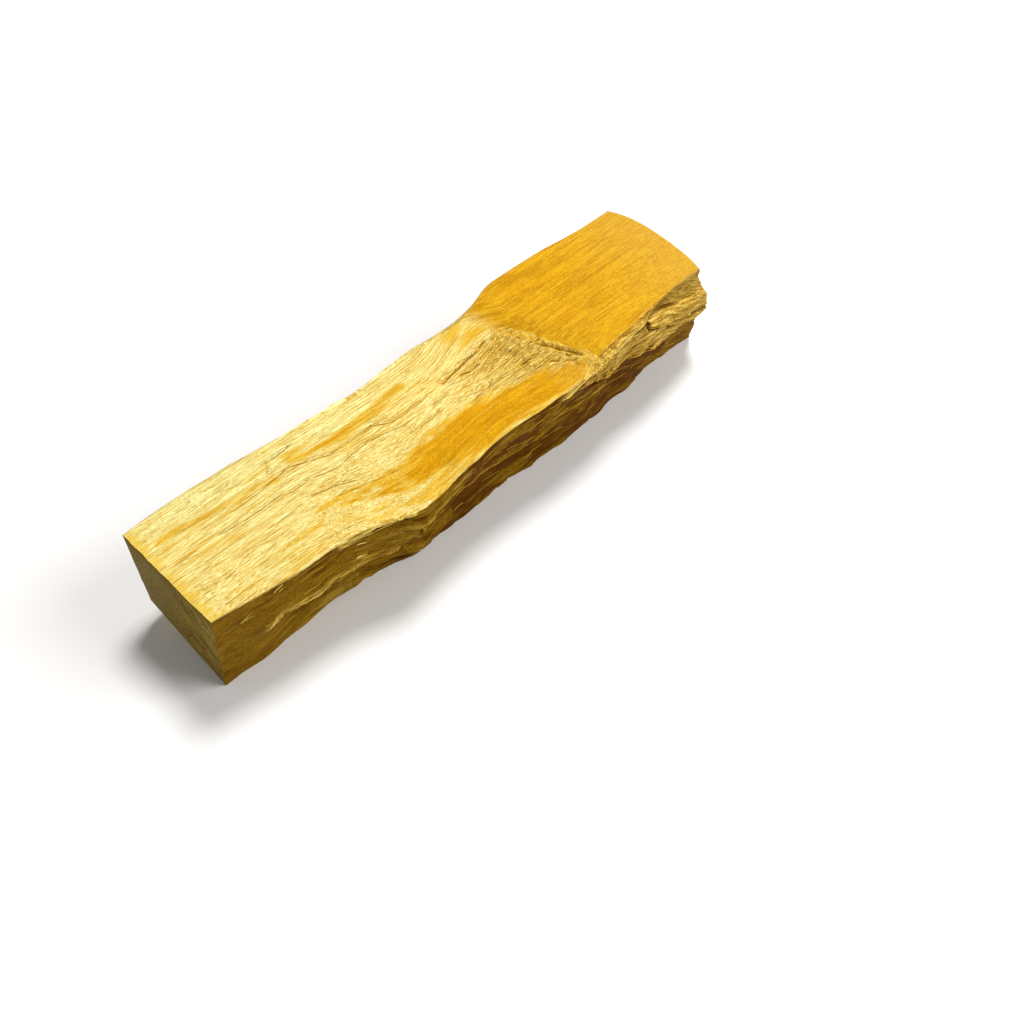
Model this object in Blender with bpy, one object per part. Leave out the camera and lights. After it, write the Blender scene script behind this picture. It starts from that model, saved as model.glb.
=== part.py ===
"""One palo santo stick: a short billet of golden wood, sawn at both ends and split along its sides.

The stick runs along X and lies on its flat underside. The near end, towards -X, is a clean saw cut.
Past the middle it narrows to a waist, and then swells into a smooth pad that carries on to the far end.
Between waist and pad the top is torn out in a shallow hollow, which the pad's near rim overlooks as a ledge.
The right side, towards -Y, is torn and wavy, with an overhanging ledge. The left side is a cleaner split.

Every length below is in millimetres, and MM turns it into metres where the points are placed.
Depths are measured down from the level of the top, and offsets outwards from the top's edge.
"""
import math

import bmesh
import bpy
from mathutils import Vector

MM = 0.001

# Driving dimensions
HEIGHT = 17.1
PAD_RISE = 0.9
HOLLOW_DEPTH = 0.75
DROOP = 0.6
DROOP_WIDTH = 6.5
NEAR_END_X = -47.3
FAR_END_X = 49.0
NEAR_SIDE_Y = -7.7

# The near end is a flat saw cut: how far it moves along X for each millimetre of Y and of Z
NEAR_SLANT_Y = -0.072
NEAR_SLANT_Z = 0.138

# The far end bows outwards: how far its corners fall back, and how far its foot stands out
FAR_LEFT_CORNER = (11.3, 2.4)
FAR_RIGHT_CORNER = (8.7, 0.9)
FAR_FOOT_OUT = 1.8
FAR_FOOT_DEPTH = 8.0

# The top's two long edges, as (x, y)
LEFT_EDGE = (
    (-51, 11.6), (-45, 12.2), (-35.2, 12.0), (-33.8, 11.6), (-32, 11.9), (-26, 11.1), (-15, 10.4), (-13, 10.8),
    (-11.8, 9.9), (-6, 10.3), (2, 10.8), (8, 10.4), (12.5, 10.5), (15.5, 10.9), (18.3, 11.9), (20.1, 12.4),
    (26, 12.3), (32, 12.2), (36, 11.7), (41, 11.3), (47, 11.3))
RIGHT_EDGE = (
    (-50, -7.6), (-47.3, -7.7), (-43, -8.3), (-36, -9.2), (-32.6, -9.5), (-24, -9.8), (-21.9, -10.5),
    (-18.7, -11.0), (-17.4, -12.0), (-15.6, -12.9), (-12, -12.8), (-9.4, -12.4), (-5.2, -11.7), (-3.8, -12.1),
    (-2.3, -11.5), (4, -11.3), (9, -11.7), (17, -11.6), (21.5, -11.5), (24.3, -11.2), (27.2, -10.5),
    (32.3, -10.1), (38.2, -9.0), (43.2, -8.6), (48, -8.7))

# Sections of the right side: x, then (depth, offset) down the side, past the ledge's lip to the foot
RIGHT_SECTIONS = (
    (-51, ((0, 0), (4.0, 0.0), (8.5, 0.1), (10.0, 0.1), (13, 0.1), (18, 0.2))),
    (-44, ((0, 0), (4.0, 0.2), (9.6, 0.3), (10.6, 0.1), (13, 0.1), (18, 0.0))),
    (-41, ((0, 0), (4.0, 0.4), (9.2, 0.7), (10.0, -0.2), (13, -0.5), (18, -0.7))),
    (-37, ((0, 0), (3.5, 0.5), (7.9, 0.9), (8.8, -1.0), (11, -1.6), (18, -1.5))),
    (-33, ((0, 0), (3.0, 0.5), (7.3, 0.9), (8.2, -1.3), (11, -2.2), (18, -2.0))),
    (-26, ((0, 0), (3.0, 0.6), (8.4, 0.8), (9.3, -1.4), (12, -2.4), (18, -2.2))),
    (-20, ((0, 0), (2.5, 0.7), (8.8, 0.6), (9.8, -1.4), (12, -2.6), (18, -2.4))),
    (-16, ((0, 0), (2.2, 0.5), (6.6, 0.2), (7.8, -1.8), (11, -3.0), (18, -2.8))),
    (-12, ((0, 0), (1.6, 0.1), (3.6, -0.3), (5.2, -2.0), (10, -3.2), (18, -3.0))),
    (-4, ((0, 0), (1.5, 0.0), (4.2, -0.5), (6.5, -1.8), (10, -2.8), (18, -2.6))),
    (8, ((0, 0), (1.5, -0.1), (4.5, -0.8), (8.0, -1.6), (11, -2.6), (18, -2.4))),
    (16, ((0, 0), (0.9, 0.2), (2.0, -0.2), (4.0, -1.2), (9, -2.2), (18, -2.0))),
    (22, ((0, 0), (1.0, 0.4), (3.6, 0.7), (4.6, -0.8), (9, -1.8), (18, -1.8))),
    (29, ((0, 0), (1.2, 0.5), (6.2, 1.2), (7.3, -0.6), (10, -1.6), (18, -1.6))),
    (34, ((0, 0), (1.0, -0.1), (2.0, 1.0), (8.8, 1.6), (10, -0.4), (18, -1.2))),
    (38, ((0, 0), (0.9, -0.5), (2.0, 1.3), (9.8, 1.9), (11, 0.0), (18, -1.0))),
    (43, ((0, 0), (1.6, -0.3), (3.0, 1.5), (8.2, 2.0), (9.6, 0.2), (18, -0.8))),
    (51, ((0, 0), (2.6, -0.1), (4.0, 1.4), (9.0, 1.8), (10.4, 0.4), (18, -0.4))))

# Sections of the left side, in the same form
LEFT_SECTIONS = (
    (-51, ((0, 0), (6, -1.1), (13.4, -2.5), (18, -3.3))),
    (-30, ((0, 0), (6, -0.6), (13, -1.6), (18, -2.2))),
    (-10, ((0, 0), (5, 0.3), (12, -0.4), (18, -1.4))),
    (5, ((0, 0), (5, 0.5), (11, 0.3), (18, -1.0))),
    (20, ((0, 0), (4, -0.5), (10, -1.0), (18, -2.0))),
    (35, ((0, 0), (4, -0.2), (10, -1.2), (18, -2.2))),
    (51, ((0, 0), (4, -0.6), (10, -1.4), (18, -2.4))))

# The pad's near rim across the top, as (y, x), and the long step on the hollow's left, as (x, y)
PAD_RIM = ((-13, 22.6), (-9.8, 21.8), (-7, 20.9), (-2, 19.2), (2, 17.5), (4.8, 15.8), (8, 14.6), (13, 13.5))
PAD_RIM_MIDDLE = 18.5
STEP_LINE = ((-12, 1.8), (-7, 2.0), (-4, 3.1), (8, 3.3), (10.2, 3.4), (13.2, 4.3), (15.9, 7.0), (18, 9.0))

# The underside is flat, but for the near left corner, which was split away: its height and reach
CORNER_LIFT = 3.65
CORNER_REACH = 24.0
CORNER_X = -50.5

# Ridges along the grain of the torn right side
RIDGE_HEIGHT = 0.22
RIDGE_SPACING = 3.2
RIDGE_WAVE = 17.0

# Cuts along X, Y and Z, and how the cuts along X crowd together, as (share of the cuts, share of the length)
CUTS = (56, 22, 16)
CROWDING = ((0, 0), (0.02, 0.008), (0.50, 0.56), (0.56, 0.61), (0.80, 0.78), (0.98, 0.992), (1, 1))


def smooth(low, high, value):
    """Rises smoothly from 0 at low to 1 at high."""
    share = min(max((value - low) / (high - low), 0.0), 1.0)
    return share * share * (3.0 - 2.0 * share)


def along(points, value):
    """Reads a line of (position, height) points, straight between its points."""
    for (start, low), (end, high) in zip(points, points[1:]):
        if value <= end:
            break
    share = min(max((value - start) / (end - start), 0.0), 1.0)
    return low + (high - low) * share


def side_offset(sections, x, depth):
    """Reads how far a side stands out at a depth, between the two sections nearest to x."""
    for (start, before), (end, after) in zip(sections, sections[1:]):
        if x <= end:
            break
    share = smooth(start, end, x)
    profile = [(a[0] + (b[0] - a[0]) * share, a[1] + (b[1] - a[1]) * share) for a, b in zip(before, after)]
    return along(profile, depth)


def ridges(x, depth):
    """Low ridges that run with the wavy grain down the torn side, and die out at its top edge."""
    phase = depth / RIDGE_SPACING + 0.35 * math.sin(x * math.tau / RIDGE_WAVE)
    return RIDGE_HEIGHT * math.sin(phase * math.tau) * smooth(0.5, 2.5, depth) * smooth(-50, -40, x)


def top_relief(x, y):
    """Height of the top above its sawn level: the swollen pad, and the torn hollow in front of it."""
    past_rim = x - along(PAD_RIM, y)
    blend = smooth(5.5, 8.5, y)
    round_over = smooth(0.0, 3.5, past_rim) * 0.7 + smooth(-0.4, 0.5, past_rim) * 0.3
    slope_over = smooth(-5.0, 5.0, past_rim)
    pad = PAD_RISE * (round_over * (1 - blend) + slope_over * blend)
    right_of_step = along(STEP_LINE, x) - y
    across = smooth(-0.2, 1.3, right_of_step) * (1 - 0.75 * smooth(2.0, 13.0, right_of_step))
    lengthwise = smooth(-24.0, -7.0, past_rim) * (1 - smooth(-0.3, 0.6, past_rim))
    return pad - HOLLOW_DEPTH * across * lengthwise


def edge_droop(x, y):
    """The top rolls over towards the bulge in its right edge."""
    bulge = smooth(-26, -16, x) * (1 - smooth(-12, 2, x))
    return DROOP * bulge * smooth(DROOP_WIDTH, 0.0, y - along(RIGHT_EDGE, x))


def near_end(y, z):
    return NEAR_END_X + NEAR_SLANT_Y * (y - NEAR_SIDE_Y) + NEAR_SLANT_Z * (z - HEIGHT)


def far_end(y, depth):
    half, back = FAR_LEFT_CORNER if y > 0 else FAR_RIGHT_CORNER
    corner = back * (abs(y) / half) ** 3
    return FAR_END_X - min(corner, 1.2 * back) + FAR_FOOT_OUT * smooth(0.0, FAR_FOOT_DEPTH, depth)


def underside(x, across):
    """The underside's height, where across runs from 0 at the right edge to 1 at the left."""
    return CORNER_LIFT * across * (1 - smooth(CORNER_X, CORNER_X + CORNER_REACH, x))


def place(unit):
    """Puts a point of the cut unit cube where it belongs on the stick."""
    lengthwise = along(CROWDING, unit.x + 0.5)
    across, up = unit.y + 0.5, unit.z + 0.5
    level = HEIGHT * up
    depth = HEIGHT - level
    rough_y = -9.0 + 20.0 * across
    start = near_end(rough_y, level)
    x = start + (far_end(rough_y, depth) - start) * lengthwise
    x += (along(PAD_RIM, rough_y) - PAD_RIM_MIDDLE) * up * smooth(18, 4, abs(x - PAD_RIM_MIDDLE))
    bottom = underside(x, across)
    z = bottom + (HEIGHT - bottom) * up
    depth = HEIGHT - z
    right = along(RIGHT_EDGE, x) - side_offset(RIGHT_SECTIONS, x, depth) - ridges(x, depth)
    left = along(LEFT_EDGE, x) + side_offset(LEFT_SECTIONS, x, depth)
    y = right + (left - right) * across
    end = near_end(y, z) if unit.x < -0.499 else x
    if up > 0.999:
        z += top_relief(x, y) - edge_droop(x, y)
    elif up > 0.5:
        z += (top_relief(x, y) - edge_droop(x, y)) * smooth(0.5, 1.0, up)
    return Vector((end, y, z)) * MM


def cut_cube():
    """A unit cube, cut into a grid along each of its three directions."""
    bm = bmesh.new()
    bmesh.ops.create_cube(bm, size=1.0)
    for axis, cuts in enumerate(CUTS):
        edges = [e for e in bm.edges if abs(e.verts[0].co[axis] - e.verts[1].co[axis]) > 0.5]
        bmesh.ops.subdivide_edges(bm, edges=edges, cuts=cuts - 1, use_grid_fill=True)
    return bm


def centre(bm):
    """Moves the stick so that the origin is under its middle."""
    for axis in (0, 1):
        values = [v.co[axis] for v in bm.verts]
        shift = Vector((0, 0, 0))
        shift[axis] = -(min(values) + max(values)) / 2
        bmesh.ops.translate(bm, verts=bm.verts, vec=shift)


def flatten_underside(bm):
    """Joins the level faces of the underside into one."""
    level = [f for f in bm.faces if all(abs(v.co.z) < 1e-6 for v in f.verts)]
    edges = {e for f in level for e in f.edges}
    inner = [e for e in edges if all(f in level for f in e.link_faces)]
    bmesh.ops.dissolve_edges(bm, edges=inner, use_verts=True)


def wood():
    material = bpy.data.materials.new("golden_wood")
    material.use_nodes = True
    shader = material.node_tree.nodes["Principled BSDF"]
    shader.inputs["Base Color"].default_value = (0.72, 0.45, 0.14, 1)
    shader.inputs["Roughness"].default_value = 0.6
    shader.inputs["Metallic"].default_value = 0.0
    return material


def stick():
    bm = cut_cube()
    for vert in bm.verts:
        vert.co = place(vert.co)
    centre(bm)
    flatten_underside(bm)
    bmesh.ops.recalc_face_normals(bm, faces=bm.faces)
    mesh = bpy.data.meshes.new("stick")
    bm.to_mesh(mesh)
    bm.free()
    mesh.materials.append(wood())
    return bpy.data.objects.new("stick", mesh)


for old in list(bpy.data.objects):
    bpy.data.objects.remove(old, do_unlink=True)
parts = bpy.data.collections.new("palo_santo_stick")
bpy.context.scene.collection.children.link(parts)
parts.objects.link(stick())
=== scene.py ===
import math
import random

import bpy
import numpy as np
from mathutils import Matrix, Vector, noise
from mathutils.bvhtree import BVHTree


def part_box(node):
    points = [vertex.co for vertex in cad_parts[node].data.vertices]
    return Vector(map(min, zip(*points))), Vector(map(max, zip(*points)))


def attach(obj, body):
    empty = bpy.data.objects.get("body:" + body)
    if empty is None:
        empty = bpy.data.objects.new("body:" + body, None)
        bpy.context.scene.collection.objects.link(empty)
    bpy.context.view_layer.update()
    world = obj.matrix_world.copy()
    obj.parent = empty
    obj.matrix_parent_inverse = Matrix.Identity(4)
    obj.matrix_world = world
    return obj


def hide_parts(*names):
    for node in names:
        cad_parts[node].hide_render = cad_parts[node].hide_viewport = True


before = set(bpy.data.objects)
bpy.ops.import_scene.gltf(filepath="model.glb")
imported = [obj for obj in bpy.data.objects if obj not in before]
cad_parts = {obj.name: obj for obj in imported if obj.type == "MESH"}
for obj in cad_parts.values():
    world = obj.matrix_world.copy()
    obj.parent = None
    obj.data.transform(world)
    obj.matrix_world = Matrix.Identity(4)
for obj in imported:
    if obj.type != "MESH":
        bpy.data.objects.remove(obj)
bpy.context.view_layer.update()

MM = 0.001

# The height of the near half's top
TOP = 17.1

# Degrees from which an edge of the solid stays sharp, and up to which an edge of the carved wood is shaded smooth
SHARP_EDGE = 48
SMOOTH_EDGE = 60

# The near end's top edge, and how far it falls back for each millimetre of Y
NEAR_EDGE_X = -47.5
NEAR_EDGE_Y = -7.1
NEAR_SLANT = -0.072

# The hollow in the top, as the solid has it: the pad's near rim as (y, x), the long step on its left as (x, y)
PAD_RIM = ((-12.4, 22.4), (-9.2, 21.6), (-6.4, 20.7), (-1.4, 19), (2.6, 17.3), (5.4, 15.6), (8.6, 14.4), (13.6, 13.3))
STEP_LINE = ((-12.2, 2.4), (-7.2, 2.6), (-4.2, 3.7), (7.8, 3.9), (10, 4), (13, 4.9), (15.7, 7.6), (17.8, 9.6))
HOLLOW_DEPTH = 0.75
PAD_RISE = 0.9

# Over which distance right of its step the hollow falls to its depth, over which it loses the SHALLOWER share of that
# again, and over which distance from the pad's rim it starts
STEP_WIDTH = (-0.2, 1.3)
SHALLOWER = 0.75
SHALLOWER_OVER = (2, 13)
HOLLOW_START = (-24, -7)

# Where the torn fringe under the pad's rim breaks off, and where the pad's resin begins, as (y, x)
FRINGE_LINE = ((-9.2, 21.6), (-7.9, 21), (-6.6, 20.5), (-4.7, 19.5), (-3.3, 18.7), (-1.2, 17.6), (1.5, 16.2),
               (3.8, 15), (5.2, 13.9))
RESIN_LINE = ((-12.4, 22.9), (-8.8, 22.2), (-6, 21.2), (-3.2, 19.6), (-1, 18.7), (0.8, 18.1), (2.5, 17.5),
              (5.2, 15.9), (13.6, 14.4))

# The pad's edge along the torn side as (x, y), and how far the splintered shelf beyond it lies below the pad
PAD_EDGE = ((21, -10), (22.6, -9.7), (27.5, -9.3), (32.6, -8.8), (36.7, -8.5), (42, -8.1), (50, -7.9))
SHELF_DROP = 0.55

# The top's grain dips towards the torn side near one place, and fans out in the hollow
DIP_X = -12
DIP_REACH = (10, 18)
DIP = ((-12, 3.2), (-4, 3), (2, 2), (6, 1.1), (11, 0.5))
FAN = 0.45
FAN_MIDDLE = -1

# How far the torn side's grain lies below the straight, as (x, millimetres)
SIDE_FALL = ((-48, 0), (-38, -1.2), (-28, -1.6), (-20, 0.4), (-14, 1.6), (-6, 0.6), (6, 0.4), (24, 0.2), (34, 1),
             (41, 3), (48, 6))

# The foot of the freshly torn, paler wood on the far part of the torn side, as (x, z)
FRESH_FOOT = ((10, 16.2), (15, 15.2), (20, 14.4), (26.4, 13.6), (29.3, 13), (32.6, 11.9), (34.1, 11.2), (37, 9.4),
              (48, 8.4))

# Lips along the torn side: the points they run through as (x, z), how wide, how far out and how pale they are
# Their paleness is partly the torn fibres' own and partly a painted highlight along the ledges
SIDE_LIPS = (
    (((-28.5, 16.2), (-25, 16.4), (-21, 16.4), (-16, 16.1)), 1, 0.35, 0.9),
    (((12, 16), (18.2, 16.5), (24, 17.2), (28.2, 17.3), (32, 17.3), (34.3, 17)), 0.7, 0.45, 1),
    (((-42.6, 7.6), (-38.5, 10.9), (-34.3, 10.2), (-29.9, 11.3), (-26.5, 10.6), (-23.3, 9.3)), 0.9, 0.24, 0.6),
)

# The chunk at the far end of the torn side: its middle line as (x, z), and half its height as (x, millimetres)
CHUNK_LINE = ((33.6, 16.4), (36, 15.6), (38, 14.7), (40, 13.7), (42, 13.2), (44, 12.6), (46, 12.3), (50, 11.8))
CHUNK_HALF = ((33.6, 0.3), (34.3, 1), (36, 1.4), (38, 1.75), (40, 2.1), (43, 2), (46, 2.2), (50, 2))

# Cracks that are cut into the top: the points they run through, half their width, and how deep they are
CRACKS = (
    (((17.6, -1.2), (17.9, -1.9), (18.7, -3.3), (19, -4.2), (19.5, -4.8), (20.5, -6.6), (20.6, -7.3), (21.1, -8.2)),
     0.2, 0.28),
    (((0.9, 4.1), (1.7, 3.1), (4.6, 3.6), (7.4, 4.1), (9.1, 4.2), (11.2, 4.8), (12.9, 5.1)), 0.2, 0.3),
    (((4, 2.6), (5.3, 2.6), (6.5, 2.3), (8.2, 2.5), (8.6, 2.3)), 0.18, 0.26),
    (((6.9, -1.2), (7.1, -1.7), (6.2, -2.1), (3.7, -2.6), (1.7, -3.1)), 0.13, 0.18),
    (((12.6, -2.2), (14.1, -2.4), (15.6, -2.8), (16.5, -3.4)), 0.26, 0.34),
    (((15.7, -4.7), (17.7, -5.7), (19.2, -5.6), (19.8, -6.5)), 0.24, 0.32),
    (((12.8, -0.7), (15, -0.7)), 0.14, 0.18),
    (((16.3, -0.1), (17.7, -0.6), (18.4, -0.9)), 0.14, 0.18),
    (((18.9, -7.4), (20.1, -7.6)), 0.12, 0.16),
    (((12, 0.1), (13, 0.4)), 0.1, 0.12),
    (((16, 2.1), (16.3, 1.4)), 0.11, 0.12),
    (((12.9, -4.4), (14.8, -4.7), (16.3, -4.9)), 0.09, 0.12),
    (((8.3, 1.7), (10, 2.3), (12, 3), (13.6, 3.7), (14.7, 3.9)), 0.08, 0.1),
    (((9, 3), (11.2, 3.7), (13.9, 4.4)), 0.07, 0.08),
)

# Finer lines in the top's grain, in the same form
GRAIN_LINES = (
    (((-40.7, 5.5), (-34.2, 5.3), (-30.7, 5.4), (-25.4, 6), (-22, 4.8), (-19.8, 3.8), (-17, 3.7), (-11.7, 3.7),
      (-9, 2.3), (-4.9, 2.6), (1.1, 3.1)), 0.11, 0.1),
    (((-29.1, 2.9), (-27.2, 2.1), (-24.5, 2.4), (-19.6, 1.2), (-16.6, 1.8), (-13.5, 1.9), (-10, 1.2), (-6.4, 0.4)),
     0.1, 0.09),
    (((-26.3, -0.1), (-23.2, -0.7), (-20.5, -1.8), (-19.2, -2.5)), 0.12, 0.11),
    (((-24.1, -2.3), (-19.6, -3.6), (-16.3, -4.7), (-13.1, -5.1)), 0.1, 0.08),
    (((-26.6, 8.7), (-24.3, 8.9), (-21.9, 9.2)), 0.1, 0.1),
    (((-12.3, 4.6), (-10.8, 4.2), (-8.7, 3.2)), 0.1, 0.08),
    (((-2.8, 0.5), (1.2, 1)), 0.1, 0.09),
    (((-8.8, -1), (-5.9, -1.3), (-1.3, -1)), 0.1, 0.09),
    (((-7.1, -4.2), (-5, -4.2), (-3.4, -4.1)), 0.09, 0.06),
    (((-44.3, 7.6), (-40.8, 7.4), (-37.1, 6.6), (-33.6, 5.6)), 0.1, 0.06),
    (((-39.7, 3.4), (-36.5, 3), (-32.4, 2.8), (-27.7, 3)), 0.1, 0.09),
    (((-46.4, -2.3), (-42.4, -3), (-40.8, -3.2)), 0.09, 0.06),
    (((-45.8, 3.3), (-41.9, 2.6)), 0.09, 0.05),
    (((-39.6, -0.7), (-34.9, -2.2), (-32.9, -2.4)), 0.09, 0.06),
    (((-37.7, 11.3), (-34.4, 10.6)), 0.09, 0.07),
    (((-36.3, 9.6), (-31.8, 8.2)), 0.09, 0.06),
    (((-33.6, -0.4), (-28.7, -0.8)), 0.09, 0.06),
    (((-27.1, 9.2), (-28.2, 7)), 0.1, 0.1),
    (((-0.7, -8.9), (-0.4, -10.3)), 0.09, 0.08),
    (((21.4, -10), (24, -9.8), (27.5, -9.45), (32.6, -8.95), (36.5, -8.65)), 0.14, 0.12),
    (((22.4, -10.4), (27, -10.1), (31, -9.6), (34, -9.25)), 0.1, 0.1),
    (((24.2, -10.8), (29, -10.35), (33, -9.75)), 0.09, 0.08),
    (((0.8, 2.2), (6, 1.5), (12.5, 1.6)), 0.08, 0.08),
    (((2.5, 0.4), (8, -0.5), (14, -0.2)), 0.09, 0.1),
    (((-1, -0.6), (5, -1.9), (10.5, -2.6), (14, -3.3)), 0.08, 0.09),
    (((5.5, -3.2), (10, -3.9), (12.5, -4.5)), 0.08, 0.07),
)

# The lines are shared among a few sets, and each is known up to LINE_REACH from it. They waver by LINE_WOBBLE.
LINE_SETS = 3
LINE_REACH = 0.55
LINE_WOBBLE = 0.15

# The amber wood beside the hollow lies between two lines across the top, as (x, y)
AMBER_LEFT = ((-16, -5.6), (-13.2, -5.4), (-5.9, -3.8), (-1.1, -3.7), (5.6, -3.8), (11.1, -5), (16.2, -6.4),
              (20.2, -8.2))
AMBER_RIGHT = ((-16, -6.8), (-12.7, -7.6), (-7.7, -9), (0.7, -10), (8.2, -10.2), (16.7, -10.3), (20.2, -9.9))

# Softer amber bands: the points they run through, half their width, and their strength
AMBER_BANDS = (
    (((-24.3, 7), (-20.9, 6.2), (-18.5, 5.6), (-16.3, 5.5), (-13.2, 5.6), (-10.3, 5.6), (-8.4, 6), (-4, 6.6)),
     1.1, 0.65),
    (((-46, 7.4), (-39.5, 7.4), (-36.5, 6.9), (-33.6, 6.2), (-28, 6)), 0.8, 0.5),
    (((-25.9, -2.3), (-23.2, -3.4), (-19, -5.2), (-15.4, -5.6), (-10.4, -5.8)), 1.3, 0.5),
    (((-34, -5.6), (-26.4, -5.6), (-20.4, -8), (-14, -9.5)), 2.4, 0.2),
    (((-46, 3.4), (-36, 1.6)), 0.9, 0.3),
    (((9, 8.6), (14, 8), (18, 7)), 2.4, 0.55),
)

# Loose fibres: how many lie singly on each torn place, how many lengths each is cut into, and the seed of their draws
HOLLOW_FIBRES = 130
FRINGE_FIBRES = 50
SIDE_FIBRES = 230
FIBRE_LENGTHS = 8
FIBRE_SEED = 11

# Sheaves of them on the torn side: start and end as (x, z), how many fibres, and how pale they are
SIDE_SHEAVES = (
    ((-42.3, 7.9), (-38.6, 10.9), 6, 0.9), ((-39, 10.7), (-30, 10.7), 8, 0.8),
    ((-44.6, 13), (-41.4, 13.9), 3, 0.8), ((-39.8, 15.6), (-35.6, 16.8), 2, 1),
    ((-28.5, 16.4), (-16, 16.2), 14, 0.9), ((-26.4, 15.6), (-23.6, 15.3), 3, 1),
    ((-26.8, 12.6), (-23.9, 11.7), 3, 0.9), ((-32, 11.2), (-24, 10), 6, 0.7),
    ((-24, 9.6), (-12, 5), 8, 0.6), ((12, 16), (24, 17), 12, 0.9),
    ((23, 17.2), (34, 17.1), 10, 0.95), ((20, 14.6), (35, 12), 12, 0.6),
    ((34.5, 14.5), (48.5, 9.6), 8, 0.6),
)

# The Y of the torn side's middle, and a distance outside the stick, from which fibres are dropped on to it
TORN_SIDE_Y = -9
OUTSIDE = 30

# The camera stands where the photograph was taken
CAMERA_PLACE = (-59.697, -77.543, 139.083)
CAMERA_TURN = (32.324, -0.298, -42.893)
CAMERA_LENS = 36.07

# The lamps' places, widths and powers, and the light from all round
LAMPS = {"key": ((0.5, 0.28, 1), 0.35, 11.6), "fill": ((0.6, -0.5, 0.6), 0.6, 6.4)}
LAMP_TINT = (1, 0.99, 0.97)
WORLD_TINT = (1, 0.985, 0.96)
WORLD_STRENGTH = 0.27
FLOOR_SIZE = 3


def smooth(low, high, value):
    """Rises smoothly from 0 at low to 1 at high."""
    share = np.clip((value - low) / (high - low), 0.0, 1.0)
    return share * share * (3.0 - 2.0 * share)


def bell(distance, width):
    """Falls smoothly from 1 at distance 0 to almost nothing at twice the width."""
    return np.exp(-(distance / width) ** 2)


def along(points, value):
    """Reads a line of (position, height) points, straight between its points."""
    return np.interp(value, [p[0] for p in points], [p[1] for p in points])


def part_way(start, end, share):
    """The point at a share of the way from start to end."""
    return tuple(first + (last - first) * share for first, last in zip(start, end))


def chance(row, column, seed):
    """A number from 0 to 1 that belongs to a row and a column."""
    return np.modf(np.abs(np.sin(row * 12.9898 + column * 78.233 + seed * 37.719) * 43758.5453))[0]


def only(piece):
    """Makes one object the selected and active one."""
    bpy.ops.object.select_all(action="DESELECT")
    piece.select_set(True)
    bpy.context.view_layer.objects.active = piece


def put_in_scene(piece):
    bpy.context.scene.collection.objects.link(piece)


def leave_edit():
    bpy.ops.object.mode_set(mode="OBJECT")


def clear_selection(kind):
    """Goes into edit mode with nothing selected, to choose faces or edges."""
    bpy.ops.object.mode_set(mode="EDIT")
    bpy.ops.mesh.select_mode(type=kind)
    bpy.ops.mesh.select_all(action="DESELECT")


def select_faces(piece, wanted):
    """Selects the faces for which wanted(middle, normal) holds, and goes on in edit mode."""
    only(piece)
    clear_selection("FACE")
    leave_edit()
    faces = piece.data.polygons
    middle = np.empty(len(faces) * 3)
    normal = np.empty(len(faces) * 3)
    faces.foreach_get("center", middle)
    faces.foreach_get("normal", normal)
    faces.foreach_set("select", wanted(middle.reshape(-1, 3) / MM, normal.reshape(-1, 3)))
    bpy.ops.object.mode_set(mode="EDIT")


def cut_finer(piece, wanted):
    select_faces(piece, wanted)
    bpy.ops.mesh.subdivide(number_cuts=1)
    leave_edit()


def corners(piece):
    """The places of a piece's points in millimetres, and their normals."""
    points = piece.data.vertices
    place = np.empty(len(points) * 3)
    normal = np.empty(len(points) * 3)
    points.foreach_get("co", place)
    points.foreach_get("normal", normal)
    return place.reshape(-1, 3) / MM, normal.reshape(-1, 3)


def put_corners(piece, place):
    piece.data.vertices.foreach_set("co", (place * MM).ravel())
    piece.data.update()


def note(piece, name, values):
    """Keeps a number, or three, for each point of a piece, for its material to read."""
    kind, key = ("FLOAT_VECTOR", "vector") if values.ndim == 2 else ("FLOAT", "value")
    attribute = piece.data.attributes.new(name, kind, "POINT")
    attribute.data.foreach_set(key, values.astype(np.float32).ravel())


def line_distance(points, x, y):
    """How far each place is from a line, above 0 on its right and below 0 on its left, and how far along the line."""
    nearest = np.full(len(x), 1e9)
    side = np.ones(len(x))
    share = np.zeros(len(x))
    for number, (start, end) in enumerate(zip(points, points[1:])):
        dx, dy = end[0] - start[0], end[1] - start[1]
        length = math.hypot(dx, dy)
        t = np.clip(((x - start[0]) * dx + (y - start[1]) * dy) / length ** 2, 0, 1)
        gap = np.hypot(x - start[0] - t * dx, y - start[1] - t * dy)
        closer = gap < nearest
        nearest = np.where(closer, gap, nearest)
        side = np.where(closer, np.where((x - start[0]) * dy > (y - start[1]) * dx, 1, -1), side)
        share = np.where(closer, (number + t) / (len(points) - 1), share)
    return nearest * side, share


def ripples(grain, length, width, seed):
    """Smooth noise, mostly from -0.5 to 0.5, drawn out along the grain."""
    shift = Vector((7.31, 3.17, 5.73)) * seed
    scaled = grain / (length, width, width)
    return np.array([noise.noise(Vector(place) + shift) for place in scaled])


def bundles(travel, across, length, width, seed):
    """Heights from -1 to 1 of bundles of fibres that lie side by side, sag, and break off at uneven places."""
    rows = across / width
    row = np.floor(rows)
    columns = travel / length + 3 * chance(row, 0, seed)
    column = np.floor(columns)
    height = 2 * chance(row, column, seed) - 1
    beside = 2 * chance(row + 1, np.floor(travel / length + 3 * chance(row + 1, 0, seed)), seed) - 1
    height = height + (beside - height) * smooth(0.7, 1.0, rows - row)
    return height + 0.6 * ((columns - column) - 0.5)


def shingles(travel, across, length, width, seed):
    """Heights from 0 to 1 of torn tongues that overlap like shingles, with their broken tips towards the near end."""
    rows = across / width
    row = np.floor(rows)

    def tongue(row):
        columns = travel / length + 5 * chance(row, 3, seed)
        column = np.floor(columns)
        left = columns - column
        return (1 - left) * smooth(0.0, 0.08, left) * (0.3 + 0.7 * chance(row, column, seed))

    own = tongue(row)
    return own + (tongue(row + 1) - own) * smooth(0.7, 1.0, rows - row)


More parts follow.
